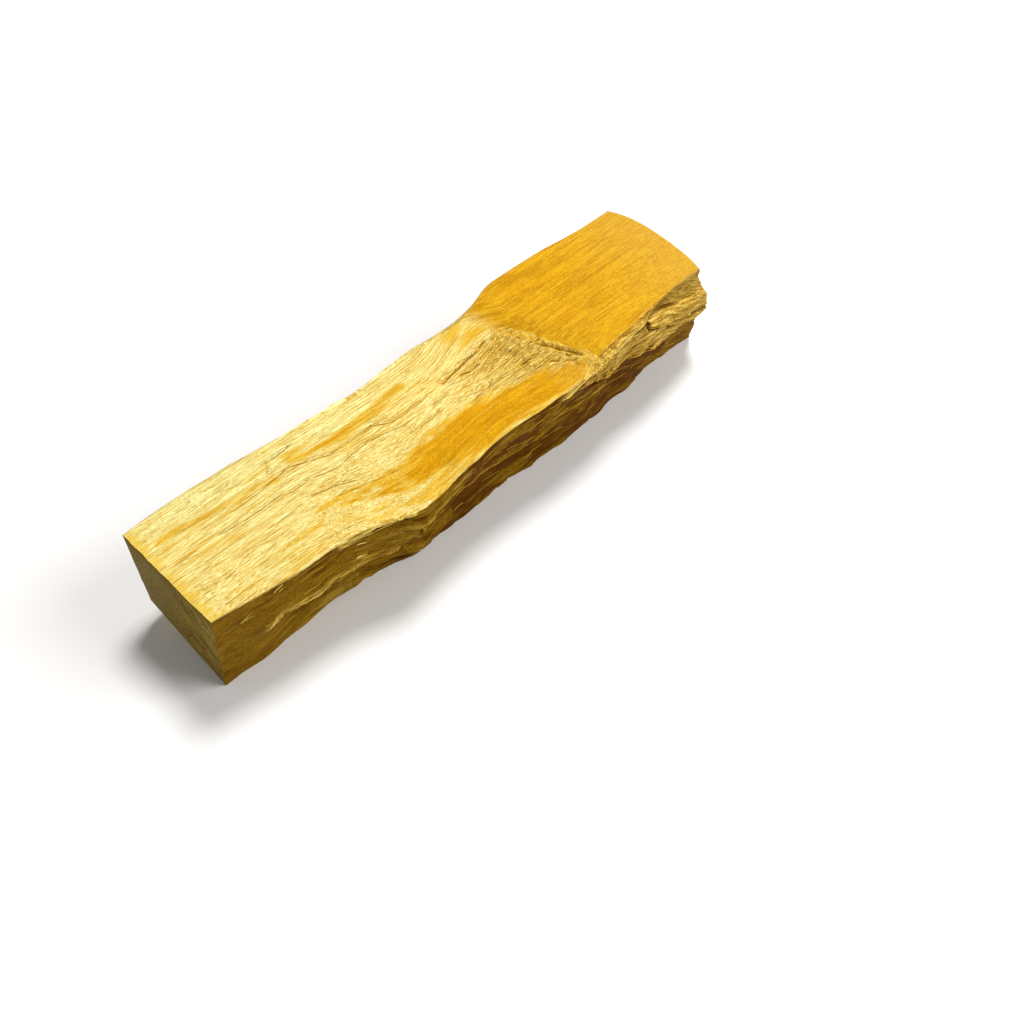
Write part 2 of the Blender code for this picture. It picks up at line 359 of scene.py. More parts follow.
def past_rim(x, y):
    return x - along(PAD_RIM, y)


def right_of_step(x, y):
    return along(STEP_LINE, x) - y


def depth_share(side):
    """How much of its depth the hollow has: all of it beside the step, and less further off."""
    return 1 - SHALLOWER * smooth(*SHALLOWER_OVER, side)


def hollow_share(x, y):
    """How far a place is inside the torn hollow, from 0 to 1, as in the solid."""
    side, ahead = right_of_step(x, y), past_rim(x, y)
    inside = smooth(*STEP_WIDTH, side) * depth_share(side) * smooth(*HOLLOW_START, ahead)
    return inside * (1 - smooth(-0.3, 0.6, ahead))


def billet():
    """The solid's own shape as one smooth mesh, cut finest where the wood is torn."""
    piece = bpy.data.objects.new("golden_stick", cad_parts["stick"].data.copy())
    put_in_scene(piece)
    only(piece)
    bpy.ops.object.mode_set(mode="EDIT")
    bpy.ops.mesh.select_all(action="SELECT")
    bpy.ops.mesh.remove_doubles(threshold=0.00001)
    bpy.ops.mesh.tris_convert_to_quads(face_threshold=math.radians(60), shape_threshold=math.radians(60))
    clear_selection("EDGE")
    bpy.ops.mesh.edges_select_sharp(sharpness=math.radians(SHARP_EDGE))
    bpy.ops.transform.edge_crease(value=1.0)
    leave_edit()
    piece.data.materials.clear()
    smoother = piece.modifiers.new("smoother", "SUBSURF")
    smoother.levels = smoother.render_levels = 2
    bpy.ops.object.modifier_apply(modifier="smoother")
    evener = piece.modifiers.new("evener", "REMESH")
    evener.mode = "SHARP"
    evener.octree_depth = 8
    bpy.ops.object.modifier_apply(modifier="evener")
    select_faces(piece, lambda place, normal: (normal[:, 2] < -0.99) & (place[:, 2] < 0.05))
    bpy.ops.mesh.dissolve_limited(angle_limit=math.radians(1))
    leave_edit()

    def torn(place, normal):
        """The hollow, the upper part of the torn side, and the shelf beside the pad."""
        x, y, z = place.T
        top = (normal[:, 2] > 0.6) & (z > 14) & (hollow_share(x, y) > 0.3) & (past_rim(x, y) > -14)
        side = (normal[:, 1] < -0.5) & (z > TOP - 7) & (x > -26) & (x < 48)
        shelf = (normal[:, 2] > 0.3) & (z > 16) & (x > 20) & (y < along(PAD_EDGE, x) + 0.5)
        return top | side | shelf

    def shingled(place, normal):
        """The part of the hollow just below the pad's rim, where its torn tongues are tallest."""
        x, y, z = place.T
        ahead = past_rim(x, y)
        top = (normal[:, 2] > 0.3) & (z > 14) & (ahead > -7) & (ahead < 0.4)
        return top & (right_of_step(x, y) > -0.8) & ((y > -6.5) | (ahead > -2.5))

    cut_finer(piece, torn)
    cut_finer(piece, shingled)
    return piece


def across_grain(x, y):
    """Which fibre of the top lies at a place: it keeps its number along the grain, through the dip and the fan."""
    dipped = y + along(DIP, y) * bell(x - DIP_X, np.where(x < DIP_X, *DIP_REACH))
    fan = 1 + FAN * smooth(0, 17, x)
    return FAN_MIDDLE + (dipped - FAN_MIDDLE) / fan


def side_fall(x, y):
    """How far a side's grain lies below the straight: the torn side's rises and falls, and curls in the far chunk."""
    return smooth(4, -6, y) * (along(SIDE_FALL, x) + 0.2 * np.sin(x * math.tau / 8) * smooth(33, 37, x))


def line_gap(points, x, y, wobble):
    """How far each place is from a line that wavers, and the line's strength there, which fades at its ends."""
    gap, share = line_distance(points, x + LINE_WOBBLE * wobble[0], y + LINE_WOBBLE * wobble[1])
    return gap, smooth(-0.02, 0.15, share) * smooth(1.02, 0.85, share)


def line_fields(x, y, wobble):
    """Signed distances to the cracks and grain lines, and their strengths, shared among sets so that none run close."""
    gaps = np.full((len(x), LINE_SETS), LINE_REACH)
    marks = np.zeros((len(x), LINE_SETS))
    near = [np.zeros(len(x), bool) for number in range(LINE_SETS)]
    for points, width, depth in CRACKS + GRAIN_LINES:
        gap, taper = line_gap(points, x, y, wobble)
        close = np.abs(gap) < 2 * LINE_REACH
        number = min(range(LINE_SETS), key=lambda choice: np.sum(near[choice] & close))
        near[number] |= close
        closer = close & (np.abs(gap) < np.abs(gaps[:, number]))
        gaps[:, number] = np.where(closer, gap * 0.1 / width, gaps[:, number])
        inside = closer & (np.abs(gap) < LINE_REACH)
        marks[:, number] = np.where(inside, taper * min(1, depth / 0.12), marks[:, number])
    return gaps, marks


def carve(piece):
    """Carves the grain, the torn tongues, the fringe, the lips and the cracks, and notes where each of them is and
    where light and shade are painted.
    """
    place, normal = corners(piece)
    x, y, z = place.T
    past_resin = x - along(RESIN_LINE, y)
    soft = smooth(3.5, 6.5, y)
    in_pad = smooth(-0.4, 0.4, past_resin / (1 + 8 * soft + 14 * smooth(-8.4, -9.6, y)))
    travel, down = x, z + side_fall(x, y)
    straight = np.maximum(in_pad, smooth(0.3, 0.7, normal[:, 1]))
    across = across_grain(x, y) * (1 - straight) + y * straight
    grain = np.stack([travel, across, down], axis=1)
    ahead = past_rim(x, y)
    below_edge = TOP + PAD_RISE * smooth(0.0, 3.5, ahead) - z
    top = smooth(0.5, 0.75, normal[:, 2]) * smooth(12, 14, z) * (1 - smooth(0.3, 0.8, below_edge) * smooth(2, 4, ahead))
    right = smooth(0.2, 0.5, -normal[:, 1]) * (1 - top)
    left = smooth(0.45, 0.75, normal[:, 1]) * (1 - top)
    ends = smooth(0.75, 0.9, np.abs(normal[:, 0])) * (1 - top)

    fine = ripples(grain, 5, 0.7, 1)
    broad = ripples(grain, 17, 2.4, 2)
    threads = ripples(grain, 3.2, 0.4, 3)
    wobble = ripples(grain, 1.3, 1.3, 13), ripples(grain, 1.1, 1.1, 14)
    ragged = ripples(grain, 2.4, 0.7, 21), ripples(grain, 3.5, 1.0, 22)

    step_side = right_of_step(x, y)
    past_fringe = x - along(FRINGE_LINE, y) + 0.3 * ragged[0] + 0.2 * wobble[0]
    broken = 0.3 * smooth(0.5, -3.0, y)
    rise = (1 - broken) * smooth(-5.0, 1.8, past_fringe) + broken * smooth(-0.05, 0.15, past_fringe)
    beyond_pad = along(PAD_EDGE, x) - y + 0.15 * wobble[0]
    shelf = smooth(-0.1, 0.2, beyond_pad) * smooth(20.5, 23.0, x + fine) * top
    wanted = PAD_RISE * smooth(-2.5, 3.6, ahead) - SHELF_DROP * shelf * smooth(21, 28, x)
    worn_step = smooth(-1.3, 0.6, step_side + 0.3 * wobble[0])
    wanted -= HOLLOW_DEPTH * worn_step * depth_share(step_side) * smooth(*HOLLOW_START, ahead) * (1 - rise)
    in_hollow = smooth(-10.4, -9.6, y) * smooth(-2.0, -1.0, step_side) * smooth(2.5, 1.0, ahead)
    inside = np.maximum(smooth(0.88, 0.98, normal[:, 2]), in_hollow)
    reshape = (TOP + wanted - z) * top * inside * smooth(-9, -4, x)

    torn_top = smooth(-0.6, 1.0, step_side) * smooth(-17, -5, ahead) * (1 - smooth(-0.6, 0.3, ahead))
    torn_top *= 1 - smooth(-4.0, -6.5, y) * smooth(17, 13, x)
    fringe = smooth(*STEP_WIDTH, step_side) * smooth(-0.1, 0.3, past_fringe) * (1 - smooth(2.0, 3.0, ahead))
    fringe *= smooth(10, 14, x)
    plates = shingles(travel + 1.4 * ragged[0], across + 0.5 * ragged[1], 3.3, 0.85, 7)
    slivers = shingles(travel + 0.8 * ragged[1], across + 0.2 * ragged[0], 1.7, 0.36, 8)
    tongues = torn_top * (1 - fringe) * (0.24 * smooth(-12, -2, ahead) * plates + 0.07 * slivers)
    sawn = 0.2 * broad + 0.1 * fine + 0.04 * threads
    pad = smooth(-0.9, 0.1, (past_resin + 0.8 * ripples(grain, 5, 0.8, 11)) / (1 + 4 * soft)) * top * (1 - shelf)
    fringe *= 1 - pad
    top_height = sawn * (1 - 0.7 * pad) + tongues + 0.12 * torn_top * threads + 0.1 * fringe * (threads + wobble[0])
    for points, width, depth in CRACKS:
        gap, taper = line_gap(points, x, y, wobble)
        top_height -= depth * bell(gap, 1.3 * width) * taper

    under_top = smooth(0.0, 0.9, below_edge)
    torn_side = (0.25 + 0.75 * smooth(-42, -30, x)) * (1 - 0.4 * smooth(12, 20, x))
    side_plates = torn_side * (0.16 * bundles(travel, down, 12, 1.3, 9) + 0.08 * bundles(travel, down, 5, 0.5, 10))
    right_height = (side_plates + torn_side * (0.4 * broad + 0.3 * fine + 0.25 * threads)) * under_top
    left_height = (0.08 * bundles(travel, down, 16, 1.6, 12) + 0.3 * broad + 0.12 * fine + 0.05 * threads) * under_top
    left_height *= 0.3 + 0.7 * smooth(-47, -36, x)
    above_foot = z - along(FRESH_FOOT, x) + 0.7 * fine
    fresh = smooth(13, 21, x) * smooth(-0.25, 0.25, above_foot)
    # Painted shade along the middle of the torn side, below its paler wood, where it lies in shade
    painted_recess_shade = smooth(-12, -4, x) * smooth(40, 30, x) * (1 - fresh)
    # A groove under the paler wood, round the chunk and under each lip: carved in a little, and darkened as painted
    # shade
    groove_with_painted_shade = bell(above_foot + 0.8, 0.6) * smooth(13, 19, x)
    right_height += 0.5 * fresh * smooth(TOP, 12.5, z) * smooth(38, 32, x)
    chunk_half = along(CHUNK_HALF, x)
    chunk_side = (z - along(CHUNK_LINE, x) + 0.3 * fine) / chunk_half
    chunk = smooth(33.7, 34.4, x + 0.5 * fine)
    fresh *= 1 - 0.4 * smooth(0.9, 1.2, chunk_side) * chunk
    # The chunk's rim is darkest along its underside, as painted shade
    rim_strength = np.where(chunk_side > 0, 0.5 - 0.3 * smooth(39, 43, x), 0.9)
    chunk_rim = bell((np.abs(chunk_side) - 1) * chunk_half, 0.25) * chunk * rim_strength
    chunk_rim = np.maximum(chunk_rim, bell(x + 0.5 * fine - 33.8, 0.25) * smooth(1.3, 0.9, np.abs(z - 16.3)))
    groove_with_painted_shade = np.maximum(groove_with_painted_shade, chunk_rim * smooth(0.3, 1.0, below_edge))
    bulge = 0.6 * chunk * np.sqrt(np.clip(1 - chunk_side ** 2, 0, 1)) * (1 - 0.8 * smooth(43, 49, x))
    right_height += (bulge - 0.35 * groove_with_painted_shade) * smooth(0.8, 2.4, below_edge)
    lip = 0.6 * smooth(1.4, 0.8, below_edge) * smooth(13, 19, x) * smooth(36, 33, x)
    for points, width, out, paleness in SIDE_LIPS:
        gap, share = line_distance(points, x, z + 0.35 * fine)
        taper = smooth(0.0, 0.08, share) * smooth(1.0, 0.92, share)
        ledge = smooth(-2 * width, -0.1, gap) * smooth(0.35, 0.0, gap) * taper
        lip = np.maximum(lip, paleness * ledge * smooth(-width, -0.1, gap))
        right_height += out * ledge - 0.15 * bell(gap - 0.5, 0.25) * taper
        groove_with_painted_shade = np.maximum(groove_with_painted_shade, 0.5 * paleness * bell(gap - 0.55, 0.25) * taper)

    height = top * top_height + right * right_height + left * left_height + ends * 0.04 * ripples(place, 0.5, 0.5, 16)
    height = np.where(normal[:, 2] < -0.8, 0, height)
    moved = place + normal * height[:, None]
    moved[:, 2] += reshape
    low, high = (np.array(corner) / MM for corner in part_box("stick"))
    margin = 0.02 * (high - low)
    moved = np.clip(moved, low - margin, high + margin)
    moved[:, 2] = np.maximum(moved[:, 2], 0)
    put_corners(piece, moved)

    edge = 1.4 * ripples(grain, 9, 0.9, 17) + 1.0 * ripples(grain, 5, 0.4, 18)
    beside_rim = 0.5 + 0.5 * smooth(-1.4, 1.0, y - along(AMBER_RIGHT, x) + edge)
    amber = smooth(1.9, -1.1, y - along(AMBER_LEFT, x) + edge) * beside_rim
    amber *= smooth(-21, -10, x + 5 * edge) * smooth(23.0, 20.5, x + edge)
    for points, width, strength in AMBER_BANDS:
        amber = np.maximum(amber, strength * bell(line_distance(points, x, y + 0.6 * edge)[0], width))
    gaps, marks = line_fields(x, y, wobble)
    from_end = x - NEAR_EDGE_X - NEAR_SLANT * (y - NEAR_EDGE_Y)
    # Painted shade in a thin crevice along the pad's edge on the shelf
    painted_crevice_shade = bell(beyond_pad - 0.15, 0.14) * shelf * smooth(36, 33, x)
    # Painted light and shade, about 0.5 where there is none: paler on high torn tongues and lips, darker on the torn
    # top, in grooves, in the crevice and in the recess
    shadier = 0.28 + 0.12 * smooth(0, -4, y)
    side_painted_light = 1.6 * side_plates + 0.4 * fine + 0.5 * lip - 0.9 * groove_with_painted_shade
    relief = 0.5 + top * (2.8 * tongues - shadier * torn_top) + right * side_painted_light
    relief -= 0.2 * painted_crevice_shade + 0.34 * right * painted_recess_shade
    notes = {
        "grain": grain, "line_gaps": gaps, "line_marks": marks * top[:, None], "pad": pad,
        "amber": amber * top * (1 - pad), "torn": np.clip(torn_top * top * (1 - 0.8 * amber) * (1 - pad), 0, 1),
        "fringe": fringe * top, "side": np.clip(right + left + shelf, 0, 1), "lip": lip * right + 0.35 * shelf,
        "fresh": np.clip(fresh * right + shelf, 0, 1),
        "rim": smooth(2.2, -0.2, from_end + 1.8 * fine + 0.8 * threads) * top, "relief": np.clip(relief, 0, 1)}
    for name, values in notes.items():
        note(piece, name, values)


def name_faces(piece, materials):
    """Gives the long faces the first material, and the sawn ends the second."""
    for material in materials:
        piece.data.materials.append(material)
    select_faces(piece, lambda place, normal: (np.abs(normal[:, 0]) > 0.75) & (np.abs(place[:, 0]) > 40))
    piece.active_material_index = 1
    bpy.ops.object.material_slot_assign()
    leave_edit()


def loose_fibre():
    """One fibre to copy: a millimetre long along X and a millimetre thick, cut into a few lengths."""
    bpy.ops.object.select_all(action="DESELECT")
    bpy.ops.mesh.primitive_cylinder_add(vertices=5, radius=0.5 * MM, depth=MM, rotation=(0, math.radians(90), 0))
    piece = bpy.context.object
    bpy.ops.object.transform_apply(location=False, rotation=True, scale=False)
    clear_selection("EDGE")
    leave_edit()
    for edge in piece.data.edges:
        start, end = (piece.data.vertices[point].co.x for point in edge.vertices)
        edge.select = abs(start - end) > 0.5 * MM
    bpy.ops.object.mode_set(mode="EDIT")
    bpy.ops.mesh.subdivide(number_cuts=FIBRE_LENGTHS - 1)
    leave_edit()
    return piece


def lay_fibre(master, path, outward, width, tone):
    """Copies the fibre and lays it along a path, thinner towards its tips."""
    piece = master.copy()
    piece.data = master.data.copy()
    put_in_scene(piece)
    place = corners(piece)[0]
    share = place[:, 0] + 0.5
    step = np.rint(share * FIBRE_LENGTHS).astype(int)
    run = np.gradient(path, axis=0)
    run /= np.linalg.norm(run, axis=1)[:, None]
    aside = np.cross(outward, run)
    aside /= np.linalg.norm(aside, axis=1)[:, None]
    lift = np.cross(run, aside)
    taper = width * (0.3 + 0.7 * np.sin(math.pi * share) ** 0.5)[:, None]
    put_corners(piece, path[step] + aside[step] * place[:, 1:2] * taper + lift[step] * place[:, 2:3] * 0.7 * taper)
    note(piece, "tone", np.full(len(place), tone))
    return piece


def torn_fibres(wood, material):
    """Hundreds of loose fibres on the hollow, its fringe and the torn side, joined into one piece."""
    faces = [tuple(face.vertices) for face in wood.data.polygons]
    skin = BVHTree.FromPolygons([Vector(place) for place in corners(wood)[0]], faces)
    master = loose_fibre()
    lot = random.Random(FIBRE_SEED)
    fibres = []

    def on_top(x, y):
        return skin.ray_cast(Vector((x, y, OUTSIDE)), Vector((0, 0, -1)))[0]

    def on_side(x, z):
        return skin.ray_cast(Vector((x, -OUTSIDE, z)), Vector((0, 1, 0)))[0]

    def fall(x):
        return float(side_fall(x, TORN_SIDE_Y))

    def top_fibre(x, y, length, width, lift, tone):
        """Lays a fibre along the grain from a broken tip, which stands up, to its root."""
        across = np.linspace(-13, 13, 521)
        number = float(across_grain(x, y))
        path = []
        for share in np.linspace(0, 1, FIBRE_LENGTHS + 1):
            here = x + length * share
            there = float(np.interp(number, across_grain(here, across), across))
            hit = on_top(here, there)
            if hit is None or hit.z < 15:
                return
            path.append((here, there, hit.z + 0.02 + lift * (1 - share) ** 2))
        fibres.append(lay_fibre(master, np.array(path), (0, 0, 1), width, tone))

    def side_fibre(start, end, width, lift, tone):
        """Lays a fibre between two places (x, z) on the torn side, bent as its grain is."""
        path = []
        first, last = (start[0], start[1], fall(start[0])), (end[0], end[1], fall(end[0]))
        for share in np.linspace(0, 1, FIBRE_LENGTHS + 1):
            x, z, straight = part_way(first, last, share)
            z += straight - fall(x)
            hit = on_side(x, z)
            if hit is None or hit.y > -3:
                return
            path.append((x, hit.y - 0.02 - lift * (2 * share - 1) ** 2, z))
        fibres.append(lay_fibre(master, np.array(path), (0, -1, 0), width, tone))

    for count in range(HOLLOW_FIBRES):
        y = lot.uniform(-7.5, 4.5)
        gap = lot.uniform(0.4, 1.0) * lot.uniform(0.6, 9.0)
        x = float(along(FRINGE_LINE, y)) - gap
        if right_of_step(x, y) > 0.3:
            length = min(lot.uniform(0.8, 3.0), 0.8 * gap)
            top_fibre(x, y, length, lot.uniform(0.09, 0.18), lot.uniform(0.0, 0.18), lot.uniform(0.45, 0.9))
    for count in range(FRINGE_FIBRES):
        y = lot.uniform(-8.4, -1.0)
        tip = float(along(FRINGE_LINE, y)) - lot.uniform(-0.1, 0.25)
        length, width = lot.uniform(0.4, 0.8), lot.uniform(0.07, 0.13)
        top_fibre(tip, y, length, width, lot.uniform(0.0, 0.06), lot.uniform(0.35, 0.75))
    for count in range(SIDE_FIBRES):
        x, z = lot.uniform(-44, 44), lot.uniform(3, 16.3)
        length = lot.uniform(2.0, 7.0)
        end = (x + length, z + (fall(x) - fall(x + length)))
        side_fibre((x, z), end, lot.uniform(0.09, 0.2), lot.uniform(0, 0.12), lot.uniform(0.1, 0.7) ** 1.5)
    for start, end, count, tone in SIDE_SHEAVES:
        for number in range(count):
            first, last = sorted((lot.uniform(0, 0.7), lot.uniform(0.3, 1)))
            aside = lot.gauss(0, 0.3)
            tips = []
            for share in (first, max(last, first + 0.25)):
                x, z = part_way(start, end, share)
                tips.append((x, z + aside + lot.gauss(0, 0.1)))
            side_fibre(*tips, lot.uniform(0.1, 0.24), lot.uniform(0, 0.2), tone * lot.uniform(0.7, 1.05))

    bpy.data.objects.remove(master)
    only(fibres[0])
    for fibre in fibres:
        fibre.select_set(True)
    bpy.ops.object.join()
    piece = bpy.context.object
    piece.name = piece.data.name = "torn_fibres"
    piece.data.materials.append(material)
    bpy.ops.object.shade_smooth()
    return piece


# Materials. The next few functions put nodes into a tree.

def add(tree, kind, settings=None, **inputs):
    """Adds a shader node, and feeds its inputs with values or with other nodes' outputs."""
    node = tree.nodes.new("ShaderNode" + kind)
    for key, value in (settings or {}).items():
        setattr(node, key, value)
    feed_all(node.inputs, inputs)
    return node


def feed(socket, value):
    if isinstance(value, bpy.types.NodeSocket):
        socket.id_data.links.new(value, socket)
    elif isinstance(value, tuple) and len(value) == 3 and socket.type == "RGBA":
        socket.default_value = (*value, 1)
    else:
        socket.default_value = value


def feed_all(sockets, values):
    for name, value in values.items():
        feed(sockets[name.replace("_", " ")], value)


def use(tree, made, **inputs):
    """Places a node group in a tree."""
    return add(tree, "Group", {"node_tree": made}, **inputs).outputs


# The rest of them find the tree through the outputs that they are given.

def axes(vector):
    """A vector's X, Y and Z."""
    return add(vector.id_data, "SeparateXYZ", Vector=vector).outputs


def maths(operation, *values):
    tree = next(value.id_data for value in values if isinstance(value, bpy.types.NodeSocket))
    node = add(tree, "Math", {"operation": operation})
    for socket, value in zip(node.inputs, values):
        feed(socket, value)
    return node.outputs[0]


def times(first, second):
    return maths("MULTIPLY", first, second)


def times_plus(first, second, third):
    """The first two multiplied, and the third added."""
    return maths("MULTIPLY_ADD", first, second, third)


def vector_maths(operation, first, second):
    node = add(first.id_data, "VectorMath", {"operation": operation})
    feed(node.inputs[0], first)
    feed(node.inputs[1], second)
    return node.outputs[0]


def cloudy(place, scale, detail, roughness=0.5):
    """Smooth noise from 0 to 1."""
    return add(place.id_data, "TexNoise", Vector=place, Scale=scale, Detail=detail, Roughness=roughness).outputs["Fac"]


def blend(share, low, high):
    """Mixes two colours."""
    node = add(share.id_data, "Mix", {"data_type": "RGBA", "clamp_factor": True})
    for number, value in ((0, share), (6, low), (7, high)):
        feed(node.inputs[number], value)
    return node.outputs[2]


def between(value, low, high, top=1.0):
    """Turns a value between low and high into a smooth share from 0 to top."""
    node = add(value.id_data, "MapRange", {"interpolation_type": "SMOOTHSTEP"}, Value=value, From_Min=low,
               From_Max=high, To_Max=top)
    return node.outputs["Result"]


def coats(colour, *layers):
    """Lays tints over a colour, each as far as a pattern goes from low to high: (pattern, low, high, most, tint)."""
    for pattern, low, high, most, tint in layers:
        colour = blend(between(pattern, low, high, most), colour, tint)
    return colour


# What each group of a material puts out
LOOKS = {"Colour": "colour", "Roughness": "value", "Height": "value"}


def group(name, inputs, outputs=LOOKS):
    """Starts a node group with named inputs and outputs; its input and output nodes' sockets come back too."""
    tree = bpy.data.node_groups.new(name, "ShaderNodeTree")
    kinds = {"value": "NodeSocketFloat", "vector": "NodeSocketVector", "colour": "NodeSocketColor"}
    for label, (kind, default) in inputs.items():
        socket = tree.interface.new_socket(label, in_out="INPUT", socket_type=kinds[kind])
        if default is not None:
            socket.default_value = default
    for label, kind in outputs.items():
        tree.interface.new_socket(label, in_out="OUTPUT", socket_type=kinds[kind])
    return tree, tree.nodes.new("NodeGroupInput").outputs, tree.nodes.new("NodeGroupOutput").inputs


def streaks_group():
    """Noise that is drawn out along the grain, in millimetres."""
    tree, given, result = group("Grain streaks", {
        "Grain": ("vector", None), "Length": ("value", 10.0), "Width": ("value", 1.0), "Detail": ("value", 2.0),
        "Shift": ("value", 0.0)}, {"Streak": "value"})
    scale = add(tree, "CombineXYZ", X=given["Length"], Y=given["Width"], Z=given["Width"])
    scaled = vector_maths("DIVIDE", given["Grain"], scale.outputs[0])
    shift = add(tree, "CombineXYZ", X=given["Shift"], Y=given["Shift"], Z=given["Shift"])
    moved = vector_maths("ADD", scaled, shift.outputs[0])
    feed(result["Streak"], cloudy(moved, 1.0, given["Detail"], 0.6))
    return tree


def lines_group(streaks):
    """Thin dark lines side by side along the grain, where the wood's vessels are cut open into fine grooves, their
    darkness partly painted shade; each one comes and goes.
    """
    tree, given, result = group("Grain lines", {
        "Grain": ("vector", None), "Fibre": ("value", 0.0), "Spacing": ("value", 1.0), "Width": ("value", 0.1),
        "Length": ("value", 10.0), "Shift": ("value", 0.0)}, {"Line": "value"})
    wander = use(tree, streaks, Grain=given["Grain"], Length=26.0, Width=3.0, Detail=1.0, Shift=given["Shift"])
    place = times_plus(wander["Streak"], 2.0, given["Fibre"])
    place = maths("DIVIDE", place, given["Spacing"])
    cell = maths("FLOOR", place)
    lot = add(tree, "TexWhiteNoise", {"noise_dimensions": "1D"}, W=maths("ADD", cell, given["Shift"]))
    lots = add(tree, "SeparateColor", Color=lot.outputs["Color"])
    centre = times_plus(lots.outputs["Red"], 0.6, 0.2)
    gap = maths("ABSOLUTE", maths("SUBTRACT", maths("SUBTRACT", place, cell), centre))
    line = between(times(gap, given["Spacing"]), given["Width"], 0.0)
    travel = maths("DIVIDE", axes(given["Grain"])["X"], given["Length"])
    travel = times_plus(lots.outputs["Green"], 40.0, travel)
    spot = add(tree, "CombineXYZ", X=travel, Y=times(cell, 3.7), Z=given["Shift"])
    fade = between(cloudy(spot.outputs[0], 1.0, 5.0, 0.75), 0.48, 0.6)
    feed(result["Line"], times(line, fade))
    return tree


def cracks_group():
    """The darkest lines: where a signed distance in one of three sets passes through 0."""
    tree, given, result = group("Cracks", {
        "Gaps": ("vector", None), "Marks": ("vector", None), "Width": ("value", 0.12)}, {"Crack": "value"})
    deepest = 0.0
    for gap, mark in zip(axes(given["Gaps"]), axes(given["Marks"])):
        near = between(maths("ABSOLUTE", gap), given["Width"], 0.0)
        deepest = maths("MAXIMUM", deepest, times(near, mark))
    feed(result["Crack"], deepest)
    return tree


# What the golden wood's group takes in: carve notes each of them on the stick's points, as line_gaps for Line Gaps
WOOD_NOTES = {"Vector": ("Grain", "Line Gaps", "Line Marks"),
              "Fac": ("Pad", "Amber", "Torn", "Fringe", "Side", "Lip", "Fresh", "Rim", "Relief")}


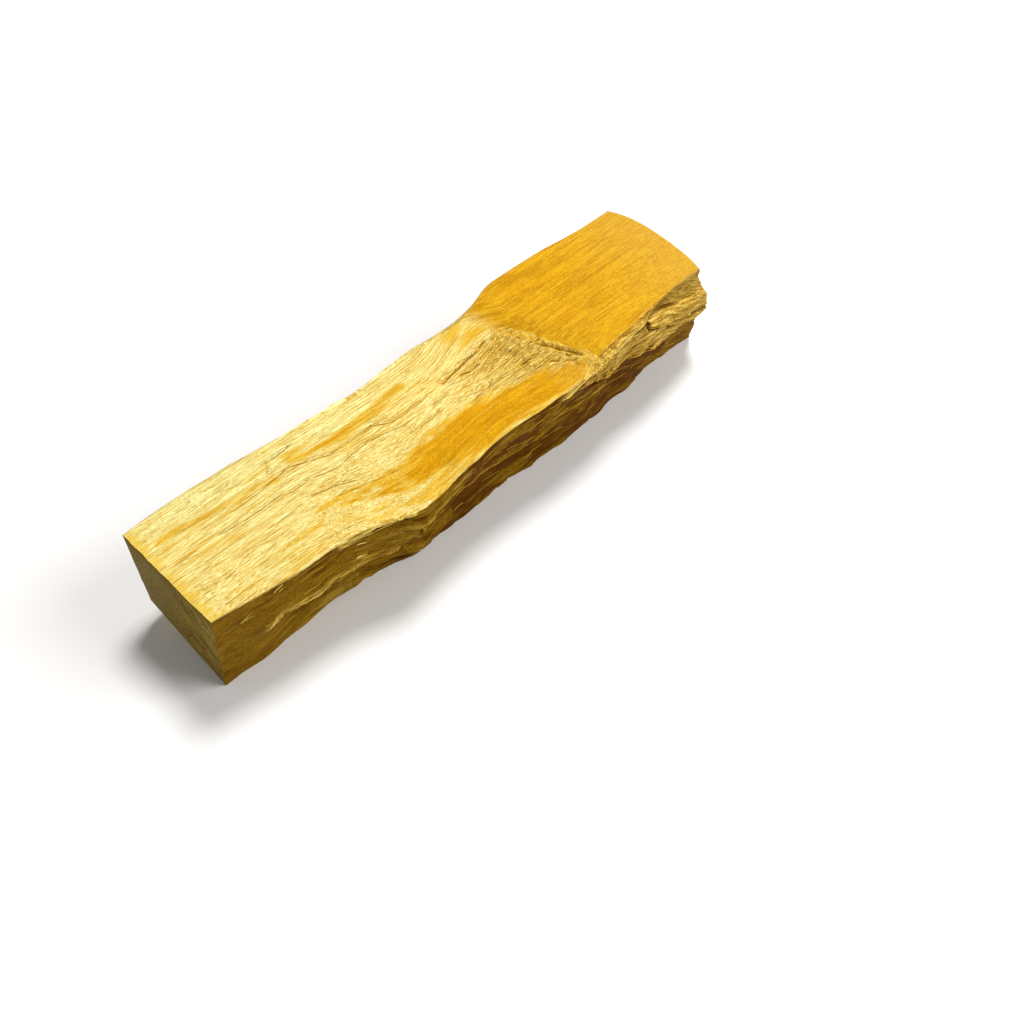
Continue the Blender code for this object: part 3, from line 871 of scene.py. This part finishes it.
def wood_group(streaks, lines, cracks):
    """Golden wood on the long faces: its colour with painted light and shade in it, its roughness, and the height of
    its fibres in millimetres.
    """
    tree, given, result = group("Golden grain", {
        **{name: ("vector", None) for name in WOOD_NOTES["Vector"]},
        **{name: ("value", 0.0) for name in WOOD_NOTES["Fac"]}})
    grain, relief = given["Grain"], given["Relief"]
    travel, across, down = axes(grain)

    def streak(length, width, detail, shift):
        return use(tree, streaks, Grain=grain, Length=length, Width=width, Detail=detail, Shift=shift)["Streak"]

    def line(spacing, width, length, shift):
        """Lines that follow the top's fibres on the top, and the sides' fibres on the sides."""
        top, flank = (use(tree, lines, Grain=grain, Fibre=fibre, Spacing=spacing, Width=width, Length=length,
                          Shift=shift)["Line"] for fibre in (across, down))
        return times_plus(maths("SUBTRACT", flank, top), given["Side"], top)

    bands = streak(36.0, 2.6, 3.0, 1.0)
    stripes = streak(24.0, 0.9, 2.0, 2.0)
    threads = streak(3.2, 0.15, 2.0, 3.0)
    sand = streak(0.5, 0.07, 1.5, 5.0)
    hairs = streak(5.0, 0.08, 1.5, 14.0)
    flecks = streak(7.0, 0.6, 3.0, 6.0)
    long_lines = line(1.5, 0.095, 6.0, 11.0)
    lines_between = line(0.7, 0.09, 3.6, 23.0)
    dashes = line(0.35, 0.085, 1.5, 37.0)
    drawn = 0.0
    for pattern, strength in ((long_lines, 0.85), (lines_between, 0.7), (dashes, 0.5)):
        drawn = maths("MAXIMUM", drawn, times(pattern, strength))
    crack, shade = (use(tree, cracks, Gaps=given["Line Gaps"], Marks=given["Line Marks"], Width=width)["Crack"]
                    for width in (0.1, 0.24))
    broken = between(streak(1.6, 0.5, 2.0, 12.0), 0.4, 0.52)
    crack = times(crack, times_plus(broken, 0.75, 0.25))

    straw = coats((0.79, 0.7, 0.25), (bands, 0.4, 0.6, 1.0, (0.72, 0.53, 0.11)))
    cream = times(between(across, 5.0, 9.0), between(travel, 4.0, -12.0, 0.8))
    straw = blend(cream, straw, (0.77, 0.84, 0.38))
    straw = coats(straw, (stripes, 0.48, 0.6, 0.75, (0.68, 0.43, 0.06)),
                  (flecks, 0.5, 0.62, 0.5, (0.66, 0.4, 0.045)))
    less_amber = maths("SUBTRACT", given["Amber"], 0.9)
    amber_share = times_plus(streak(9.0, 0.8, 3.0, 8.0), 1.8, less_amber)
    honey = between(amber_share, 0.08, 0.5)
    straw = blend(honey, straw, (0.68, 0.4, 0.03))
    # Pale specks and threads along the grain: partly the wood's paler fibres, partly painted highlights on their ridges
    light = blend(honey, (0.94, 0.91, 0.42), (0.82, 0.57, 0.09))
    straw = coats(
        straw, (threads, 0.51, 0.62, 0.75, (0.6, 0.34, 0.028)),
        (threads, 0.47, 0.36, 0.6, light),
        (sand, 0.5, 0.6, 0.5, light),
        (sand, 0.48, 0.38, 0.5, (0.56, 0.31, 0.026)),
        (hairs, 0.5, 0.58, 0.55, light),
        (hairs, 0.475, 0.395, 0.65, (0.54, 0.3, 0.024)))

    clouds = streak(7.0, 2.2, 4.0, 9.0)
    soft = streak(14.0, 0.5, 3.0, 10.0)
    amber = coats(
        (0.62, 0.29, 0.001), (flecks, 0.42, 0.58, 1.0, (0.5, 0.215, 0.001)),
        (soft, 0.5, 0.64, 0.5, (0.76, 0.44, 0.01)),
        (sand, 0.5, 0.6, 0.5, (0.8, 0.48, 0.01)),
        (sand, 0.48, 0.38, 0.5, (0.44, 0.18, 0.001)),
        (hairs, 0.48, 0.4, 0.4, (0.47, 0.2, 0.001)))
    colour = coats(straw, (amber_share, 0.44, 0.86, 1.0, amber))

    resin = coats(
        (0.6, 0.285, 0.001), (clouds, 0.42, 0.56, 1.0, (0.46, 0.19, 0.001)),
        # Lighter towards the pad's right edge: a painted sheen
        (across, 6.0, -9.0, 0.4, (0.68, 0.37, 0.01)),
        (soft, 0.5, 0.62, 0.8, (0.72, 0.42, 0.015)),
        (soft, 0.46, 0.36, 0.6, (0.45, 0.18, 0.001)),
        (travel, 30.0, 54.0, 0.8, (0.6, 0.34, 0.055)),
        (flecks, 0.52, 0.66, 0.3, (0.76, 0.47, 0.02)),
        (threads, 0.52, 0.64, 0.5, (0.42, 0.17, 0.001)),
        (threads, 0.47, 0.36, 0.35, (0.78, 0.48, 0.02)),
        (sand, 0.5, 0.6, 0.35, (0.8, 0.5, 0.02)),
        (sand, 0.48, 0.38, 0.4, (0.38, 0.155, 0.001)))
    colour = blend(given["Pad"], colour, resin)

    fibre = coats(
        (0.76, 0.51, 0.085), (stripes, 0.42, 0.6, 1.0, (0.6, 0.35, 0.04)),
        (flecks, 0.5, 0.6, 0.5, (0.46, 0.245, 0.018)),
        (threads, 0.49, 0.6, 0.8, (0.3, 0.145, 0.008)),
        # Painted shade where the torn wood lies low, and a painted highlight where it stands high
        (relief, 0.5, 0.15, 1.0, (0.34, 0.16, 0.01)),
        (relief, 0.62, 0.95, 0.6, (0.9, 0.7, 0.17)),
        # Pale specks and hairs: partly the torn fibres' own colour, partly painted highlights
        (sand, 0.5, 0.62, 0.6, (0.95, 0.78, 0.22)),
        (sand, 0.48, 0.38, 0.35, (0.36, 0.17, 0.008)),
        (hairs, 0.51, 0.59, 0.45, (0.95, 0.78, 0.22)),
        (hairs, 0.48, 0.4, 0.6, (0.36, 0.17, 0.008)))
    colour = blend(given["Torn"], colour, fibre)
    fringe = coats(
        (0.8, 0.5, 0.055), (flecks, 0.38, 0.6, 1.0, (0.64, 0.37, 0.025)),
        (sand, 0.5, 0.62, 0.4, (0.9, 0.68, 0.17)),
        (threads, 0.52, 0.64, 0.5, (0.42, 0.23, 0.018)))
    colour = blend(times(given["Fringe"], 0.9), colour, fringe)

    # The torn side's golden brown, darker than the wood's own as painted shade, since the side lies in shade
    flank = coats(
        (0.235, 0.115, 0.001), (bands, 0.38, 0.62, 1.0, (0.18, 0.083, 0.001)),
        (stripes, 0.5, 0.64, 0.25, (0.31, 0.175, 0.006)),
        (threads, 0.5, 0.62, 0.5, (0.12, 0.05, 0.001)),
        (threads, 0.46, 0.34, 0.35, (0.38, 0.23, 0.014)),
        (sand, 0.51, 0.61, 0.5, (0.36, 0.215, 0.012)),
        (sand, 0.48, 0.38, 0.35, (0.1, 0.042, 0.001)),
        (hairs, 0.51, 0.59, 0.4, (0.36, 0.215, 0.012)),
        (hairs, 0.48, 0.4, 0.5, (0.1, 0.042, 0.001)),
        # Painted shade where the torn side lies low, and a painted highlight where it stands high
        (relief, 0.5, 0.1, 1.0, (0.1, 0.032, 0.001)),
        (relief, 0.6, 0.95, 0.55, (0.52, 0.33, 0.045)))
    pale = coats(
        (0.76, 0.5, 0.09), (bands, 0.38, 0.62, 1.0, (0.6, 0.37, 0.055)),
        (travel, 35.0, 30.0, 0.75, (0.44, 0.25, 0.03)),
        (stripes, 0.48, 0.62, 0.6, (0.46, 0.27, 0.03)),
        (threads, 0.5, 0.62, 0.75, (0.2, 0.095, 0.005)),
        (threads, 0.46, 0.34, 0.6, (0.97, 0.77, 0.24)),
        # Painted shade where the paler wood lies low
        (relief, 0.45, 0.0, 1.0, (0.14, 0.055, 0.002)))
    flank = blend(given["Fresh"], flank, pale)
    # Pale lips: partly the torn fibres' own colour, partly a painted highlight along the ledges
    pale_lip = times(given["Lip"], between(threads, 0.66, 0.4))
    flank = blend(pale_lip, flank, (0.84, 0.59, 0.11))
    colour = blend(given["Side"], colour, flank)

    colour = blend(times(given["Rim"], 0.7), colour, (0.71, 0.45, 0.02))
    uneven = maths("SUBTRACT", 1.0, times(given["Pad"], 0.85))
    drawn = times(drawn, times_plus(given["Amber"], -0.6, uneven))
    drawn = times(drawn, times_plus(given["Torn"], 0.6, 1.0))
    drawn = maths("MAXIMUM", drawn, 0.0)
    # The grain lines' dark colour and the brown halo beside them: partly the grain's own, partly painted shade in the
    # grooves
    dark_line_and_shade = blend(given["Side"], (0.36, 0.155, 0.004), (0.09, 0.03, 0.001))
    line_halo_and_shade = blend(given["Side"], (0.62, 0.36, 0.035), (0.2, 0.085, 0.002))
    colour = coats(colour, (drawn, 0.0, 0.4, 0.55, line_halo_and_shade), (drawn, 0.2, 0.75, 0.75, dark_line_and_shade))
    # Painted shade in and beside the cracks and finer grain lines: a wider brown band and a dark core
    colour = blend(times(shade, 0.6), colour, (0.58, 0.3, 0.012))
    colour = blend(times(crack, 0.9), colour, (0.25, 0.1, 0.001))

    rough = times_plus(given["Torn"], 0.1, times_plus(threads, 0.2, 0.5))
    height = times(threads, times(uneven, 0.09))
    for pattern, rise in ((sand, 0.015), (stripes, times(uneven, 0.4)), (drawn, -0.06), (crack, -0.12)):
        height = times_plus(pattern, rise, height)
    feed_all(result, {"Colour": colour, "Roughness": rough, "Height": height})
    return tree


def end_group():
    """Sawn end grain: slanting growth lines, pores and specks, by place in millimetres."""
    tree, given, result = group("End grain", {"Place": ("vector", None)})
    across, up = axes(given["Place"])[1:]
    turned = add(tree, "VectorRotate", {"rotation_type": "X_AXIS"}, Vector=given["Place"], Angle=math.radians(-40))
    flat = vector_maths("MULTIPLY", turned.outputs[0], (0.1, 0.1, 1.0))
    grit_place = vector_maths("MULTIPLY", given["Place"], (0.2, 1.0, 1.0))
    rings = cloudy(flat, 1.6, 3.0, 0.6)
    grit = cloudy(grit_place, 4.6, 3.0, 0.7)
    pore = add(tree, "TexVoronoi", Vector=grit_place, Scale=1.5)
    right_part = between(across, 4.0, -3.0, 0.85)
    # Dark olive brown, darker than the end grain's own as painted shade, since the ends lie in shade
    colour = coats(
        (0.27, 0.172, 0.022), (cloudy(grit_place, 0.16, 2.0), 0.35, 0.65, 1.0, (0.21, 0.133, 0.016)),
        (across, -2.0, 8.0, 0.6, (0.28, 0.215, 0.075)))
    light_ring = times(between(rings, 0.5, 0.56), right_part)
    dark_ring = times(between(rings, 0.48, 0.42), right_part)
    colour = blend(light_ring, colour, (0.46, 0.32, 0.06))
    colour = blend(dark_ring, colour, (0.12, 0.068, 0.008))
    colour = coats(
        colour, (grit, 0.51, 0.58, 0.55, (0.44, 0.32, 0.08)),
        (grit, 0.48, 0.41, 0.65, (0.06, 0.032, 0.003)),
        (up, 15.2, 16.6, 0.6, (0.19, 0.125, 0.01)),
        (up, 0.5, 0.1, 0.6, (0.48, 0.38, 0.14)))
    speck = between(pore.outputs["Distance"], 0.16, 0.05)
    colour = blend(times(speck, 0.7), colour, (0.12, 0.05, 0.01))
    height = times_plus(speck, -0.08, times(grit, 0.12))
    feed_all(result, {"Colour": colour, "Roughness": times_plus(grit, 0.2, 0.6), "Height": height})
    return tree


def fibre_group(streaks):
    """Loose fibres, from brown at tone 0 to cream at tone 1."""
    tree, given, result = group("Torn fibre", {"Place": ("vector", None), "Tone": ("value", 0.5)})
    threads = use(tree, streaks, Grain=given["Place"], Length=3.0, Width=0.2, Detail=2.0, Shift=3.0)["Streak"]
    tone = times_plus(threads, 0.5, maths("SUBTRACT", given["Tone"], 0.25))
    colour = coats((0.2, 0.085, 0.002), (tone, 0.0, 0.5, 1.0, (0.56, 0.33, 0.035)),
                   (tone, 0.5, 1.0, 1.0, (0.9, 0.7, 0.2)))
    feed_all(result, {"Colour": colour, "Roughness": times_plus(threads, 0.2, 0.5), "Height": times(threads, 0.04)})
    return tree


def start_material(name):
    material = bpy.data.materials.new(name)
    material.use_nodes = True
    tree = material.node_tree
    return material, tree, tree.nodes["Principled BSDF"]


def attribute(tree, name, output="Fac"):
    return add(tree, "Attribute", {"attribute_name": name, "attribute_type": "GEOMETRY"}).outputs[output]


def millimetres(tree):
    """The place on a piece, in millimetres."""
    place = add(tree, "VectorMath", {"operation": "SCALE"}, Scale=1 / MM)
    feed(place.inputs[0], add(tree, "TexCoord").outputs["Object"])
    return place.outputs[0]


def finish_surface(shader, looks):
    """Feeds a shader with a group's colour, roughness and height."""
    bump = add(shader.id_data, "Bump", Height=looks["Height"], Distance=MM, Strength=1.0)
    feed_all(shader.inputs, {"Base Color": looks["Colour"], "Roughness": looks["Roughness"],
                             "Normal": bump.outputs["Normal"], "Specular IOR Level": 0.03})


def golden_wood(grain_looks):
    material, tree, shader = start_material("golden wood")
    noted = {name: attribute(tree, name.lower().replace(" ", "_"), output)
             for output, names in WOOD_NOTES.items() for name in names}
    finish_surface(shader, use(tree, grain_looks, **noted))
    return material


def end_grain(end_looks):
    material, tree, shader = start_material("end grain")
    finish_surface(shader, use(tree, end_looks, Place=millimetres(tree)))
    return material


def torn_fibre(fibre_looks):
    material, tree, shader = start_material("torn fibre")
    finish_surface(shader, use(tree, fibre_looks, Place=millimetres(tree), Tone=attribute(tree, "tone")))
    return material


def floor():
    bpy.ops.object.select_all(action="DESELECT")
    bpy.ops.mesh.primitive_grid_add(x_subdivisions=8, y_subdivisions=8, size=FLOOR_SIZE, location=(0, 0, 0))
    piece = bpy.context.object
    piece.name = "floor"
    material, tree, shader = start_material("pale floor")
    grain = cloudy(add(tree, "TexCoord").outputs["Object"], 60.0, 3.0)
    colour = blend(grain, (0.84, 0.84, 0.845), (0.86, 0.86, 0.865))
    feed_all(shader.inputs, {"Base Color": colour, "Roughness": 0.7, "Specular IOR Level": 0.2})
    piece.data.materials.append(material)


def lamp(name, place, size, power):
    """A round lamp that shines at the middle of the floor."""
    light = bpy.data.objects.new(name, bpy.data.lights.new(name, "AREA"))
    put_in_scene(light)
    light.data.shape = "DISK"
    light.data.size = size
    light.data.energy = power
    light.data.color = LAMP_TINT
    light.location = place
    light.rotation_euler = (-Vector(place)).to_track_quat("-Z", "Y").to_euler()


def studio():
    """A soft key light from behind and above, a weak fill, and the camera."""
    world = bpy.data.worlds.new("studio")
    world.use_nodes = True
    sky = world.node_tree.nodes["Background"]
    sky.inputs["Color"].default_value = (*WORLD_TINT, 1)
    sky.inputs["Strength"].default_value = WORLD_STRENGTH
    bpy.context.scene.world = world
    for name, settings in LAMPS.items():
        lamp(name, *settings)
    camera = bpy.data.objects.new("camera", bpy.data.cameras.new("camera"))
    put_in_scene(camera)
    camera.location = Vector(CAMERA_PLACE) * MM
    camera.rotation_euler = [math.radians(angle) for angle in CAMERA_TURN]
    camera.data.lens = CAMERA_LENS
    camera.data.clip_start = 0.005
    bpy.context.scene.camera = camera
    bpy.context.scene.view_settings.view_transform = "Standard"


streaks = streaks_group()
grain_looks = wood_group(streaks, lines_group(streaks), cracks_group())
stick = billet()
carve(stick)
fibres = torn_fibres(stick, torn_fibre(fibre_group(streaks)))
name_faces(stick, [golden_wood(grain_looks), end_grain(end_group())])
only(stick)
bpy.ops.object.shade_smooth_by_angle(angle=math.radians(SMOOTH_EDGE))
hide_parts("stick")
for piece in (stick, fibres):
    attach(piece, "root")
floor()
studio()
